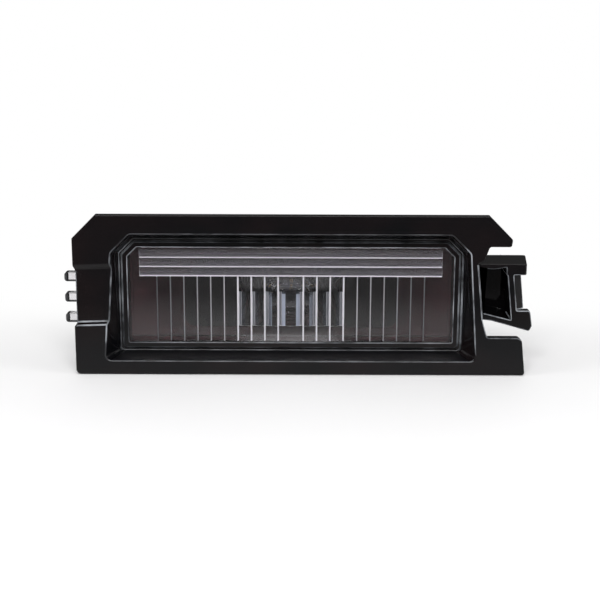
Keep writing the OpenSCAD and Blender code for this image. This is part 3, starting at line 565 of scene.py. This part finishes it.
# The frame's outer edge and the depth of the clip's pocket stay black: the edges in between get the pale
# finish, a painted highlight.
# The floor of the recess is satin. Places are in mm.
inner = {
    "left": -39.9, "right": 34.5, "low": -13.6, "high": 13.0,  # the window with its recess and the block
    "clip": (-7.2, 5.6), "clipDeep": 4.4, "wing": (-8.4, -7.4),
    "block": (-35.2, 4.0),  # left of and above this corner the block's edges are black too
    "floor": -10.0, "floorTurn": 0.975,  # top of the floor, and how far its faces look up
}
glossy = shapes["front_frame"].materials.find("glossyBlackAbs")
satin = shapes["front_frame"].materials.find("satinBlackAbs")
for face in shapes["front_frame"].polygons:
    x, y, z = (value / mm for value in face.center)
    inWindow = inner["left"] < x < inner["right"] and inner["low"] < z < inner["high"]
    inClip = x > inner["right"] and y < inner["clipDeep"] and inner["clip"][0] < z < inner["clip"][1]
    onWing = x > inner["right"] and inner["wing"][0] < z < inner["wing"][1]
    upperBlock = x < inner["block"][0] and z > inner["block"][1]
    if upperBlock or not (inWindow or inClip or onWing):
        face.material_index = glossy
    if inWindow and z < inner["floor"] and face.normal.z > inner["floorTurn"]:
        face.material_index = satin

# Walls of the rear housing that face its axis are the inside of the box
boxInside = {"front": 5.7, "axis": -3.0, "towards": 0.5}  # mm
insideFinish = shapes["rear_housing"].materials.find("insideBrownPolypropylene")
for face in shapes["rear_housing"].polygons:
    x, y, z = (value / mm for value in face.center)
    towardsAxis = -x * face.normal.x + (boxInside["axis"] - z) * face.normal.z
    if y > boxInside["front"] and towardsAxis > boxInside["towards"]:
        face.material_index = insideFinish

# The lens's little faces: matt risers with a painted highlight, satin prism slopes with painted shading, rib
# flanks with a painted bluish glint, smoky lug tips
optics = {
    "steep": 0.5, "flank": 0.3, "sloping": 0.1,  # how far the faces look sideways, up or down
    "halfWide": 28.8, "front": 2.5, "deepest": 3.4, "low": -9.4, "high": 8.2,  # mm, the room of the optics
    "stepsFrom": 2.7, "pad": (-7.0, -0.1), "padHalfWide": 10.2, "tips": -42.35,  # mm
}
kinds = ("matt", "satin", "rib", "smoky", "foot")
onLens = {kind: shapes["lens"].materials.find(kind + "Pmma") for kind in kinds}
for face in shapes["lens"].polygons:
    x, y, z = (value / mm for value in face.center)
    inside = abs(x) < optics["halfWide"] and optics["low"] < z < optics["high"]
    if inside and optics["front"] < y < optics["deepest"]:
        inPad = abs(x) < optics["padHalfWide"] and optics["pad"][0] < z < optics["pad"][1]
        if face.normal.z > optics["steep"]:
            face.material_index = onLens["foot" if inPad else "matt"]
        elif abs(face.normal.x) > optics["steep"]:
            face.material_index = onLens["matt"]
        elif face.normal.z < -optics["sloping"] and z > optics["stepsFrom"]:
            face.material_index = onLens["satin"]
        elif inPad and abs(face.normal.x) > optics["flank"]:
            face.material_index = onLens["rib"]
    elif x < optics["tips"]:
        face.material_index = onLens["smoky"]
print("pieces dressed")


# Stage: a pale table that the lamp's lower edges stand on, and a white backdrop
stage = {
    "lean": 3.7,  # degrees that the lamp leans back on its neck
    "side": 3.0,  # m
    "back": 130.0,  # mm: the table ends there, so that it hides nothing from a camera low down behind
    "pale": "#f7f6f7",
    "paler": "#fdfdfd",
    "cloud": cells(60.0, 2.0),
    "around": span(60.0 * mm, 210.0 * mm),  # from the first distance on, the camera sees it turn plain white
    "behind": span(0.0, 45.0 * mm),  # it turns white sooner behind the lamp
    "falling": span(0.0, -75.0 * mm, 0.0, 0.85),  # shiny surfaces see it get darker towards the viewer
}


def tableMaterial():
    material, shader = newMaterial("paleTable", {"Roughness": 0.55, "IOR": 1.4})
    at = addNode(material, "TexCoord", {})["Object"]
    path = addNode(material, "LightPath", {})
    cloud = addNode(material, "TexNoise", {"Vector": at, **stage["cloud"]})["Fac"]
    tint = addNode(material, "Mix", {"Factor": cloud, "A": stage["pale"], "B": stage["paler"]},
                   data_type="RGBA")
    y = addNode(material, "SeparateXYZ", {"Vector": at})["Y"]
    falling = addNode(material, "MapRange", {"Value": y, **stage["falling"]})["Result"]
    dim = addNode(material, "Math", {0: falling, 1: path["Is Glossy Ray"]}, operation="MULTIPLY")["Value"]
    seen = addNode(material, "Mix", {"Factor": dim, "A": tint["Result"], "B": "#000000"}, data_type="RGBA")
    fillSockets(material, shader, {"Base Color": seen["Result"]})
    away = addNode(material, "VectorMath", {"Vector": at}, operation="LENGTH")["Value"]
    around = addNode(material, "MapRange", {"Value": away, **stage["around"]},
                     interpolation_type="SMOOTHSTEP")
    behind = addNode(material, "MapRange", {"Value": y, **stage["behind"]}, interpolation_type="SMOOTHSTEP")
    fade = addNode(material, "Math", {0: around["Result"], 1: behind["Result"]}, operation="MAXIMUM")["Value"]
    shown = addNode(material, "Math", {0: fade, 1: path["Is Camera Ray"]}, operation="MULTIPLY")["Value"]
    white = addNode(material, "Emission", {"Strength": 1.0})["Emission"]
    blend = addNode(material, "MixShader", {0: shown, 1: shader.outputs["BSDF"], 2: white})["Shader"]
    fillSockets(material, material.node_tree.nodes["Material Output"], {"Surface": blend})
    return material


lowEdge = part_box("front_frame")[0].z
bpy.ops.object.select_all(action="DESELECT")
bpy.ops.mesh.primitive_plane_add(size=stage["side"], location=(0, 0, lowEdge))
table = bpy.context.active_object
table.name = "paleTable"
for corner in table.data.vertices:
    corner.co.y = min(corner.co.y, stage["back"] * mm)
table.rotation_euler.x = math.radians(stage["lean"])
table.data.materials.append(tableMaterial())

# Surroundings: what each kind of ray sees of the studio, by the direction that it looks in
studio = {
    "camera": 1.0,  # plain white
    "diffuse": 0.42,  # level on dull surfaces
    "shiny": span(0.0, 0.5, 0.12, 1.0),  # on shiny surfaces, the dim room in front and then the backdrop
    "clear": span(0.5, 0.8, 0.04, 1.0),  # through clear parts, black flags that draw rims, then the same
    "lit": span(0.3, 0.5),  # sine of the height at which the lit part starts and is full
    "low": 0.06,  # what shiny surfaces see under the lit part
}
world = bpy.data.worlds.new("studio")
bpy.context.scene.world = world
world.use_nodes = True
path = addNode(world, "LightPath", {})
direction = addNode(world, "TexCoord", {})["Generated"]
split = addNode(world, "SeparateXYZ", {"Vector": direction})
shiny = addNode(world, "MapRange", {"Value": split["Y"], **studio["shiny"]})["Result"]
clear = addNode(world, "MapRange", {"Value": split["Y"], **studio["clear"]})["Result"]
lit = addNode(world, "MapRange", {"Value": split["Z"], **studio["lit"]}, interpolation_type="SMOOTHSTEP")
mirrored = addNode(world, "Mix", {"Factor": lit["Result"], "A": studio["low"], "B": shiny})["Result"]
dull = addNode(world, "Mix",
               {"Factor": path["Is Transmission Ray"], "A": studio["diffuse"], "B": clear})["Result"]
lighting = addNode(world, "Mix", {"Factor": path["Is Glossy Ray"], "A": dull, "B": mirrored})["Result"]
seen = addNode(world, "Mix", {"Factor": path["Is Camera Ray"], "A": lighting, "B": studio["camera"]})
fillSockets(world, world.node_tree.nodes["Background"], {"Color": "#ffffff", "Strength": seen["Result"]})

# The overhead panel stands in front of the lamp and above it, and draws the bright lines on the risers and
# the upper edges. A panel at each side draws those on the upright edges. All face the origin, and their
# places and sizes are in mm.
lamps = {
    "overheadPanel": {"place": (0, -300, 260), "size": (300, 90), "power": 1.2},
    "leftPanel": {"place": (-330, -110, 90), "size": (120, 260), "power": 0.35},
    "rightPanel": {"place": (330, -110, 90), "size": (120, 260), "power": 0.35},
}
for name, lamp in lamps.items():
    data = bpy.data.lights.new(name, "AREA")
    data.shape = "RECTANGLE"
    data.size = lamp["size"][0] * mm
    data.size_y = lamp["size"][1] * mm
    data.energy = lamp["power"]
    light = bpy.data.objects.new(name, data)
    bpy.context.scene.collection.objects.link(light)
    light.location = Vector(lamp["place"]) * mm
    light.rotation_euler = Vector(lamp["place"]).to_track_quat("Z", "Y").to_euler()
print("stage and lamps set")

bpy.context.scene.view_settings.view_transform = "Standard"
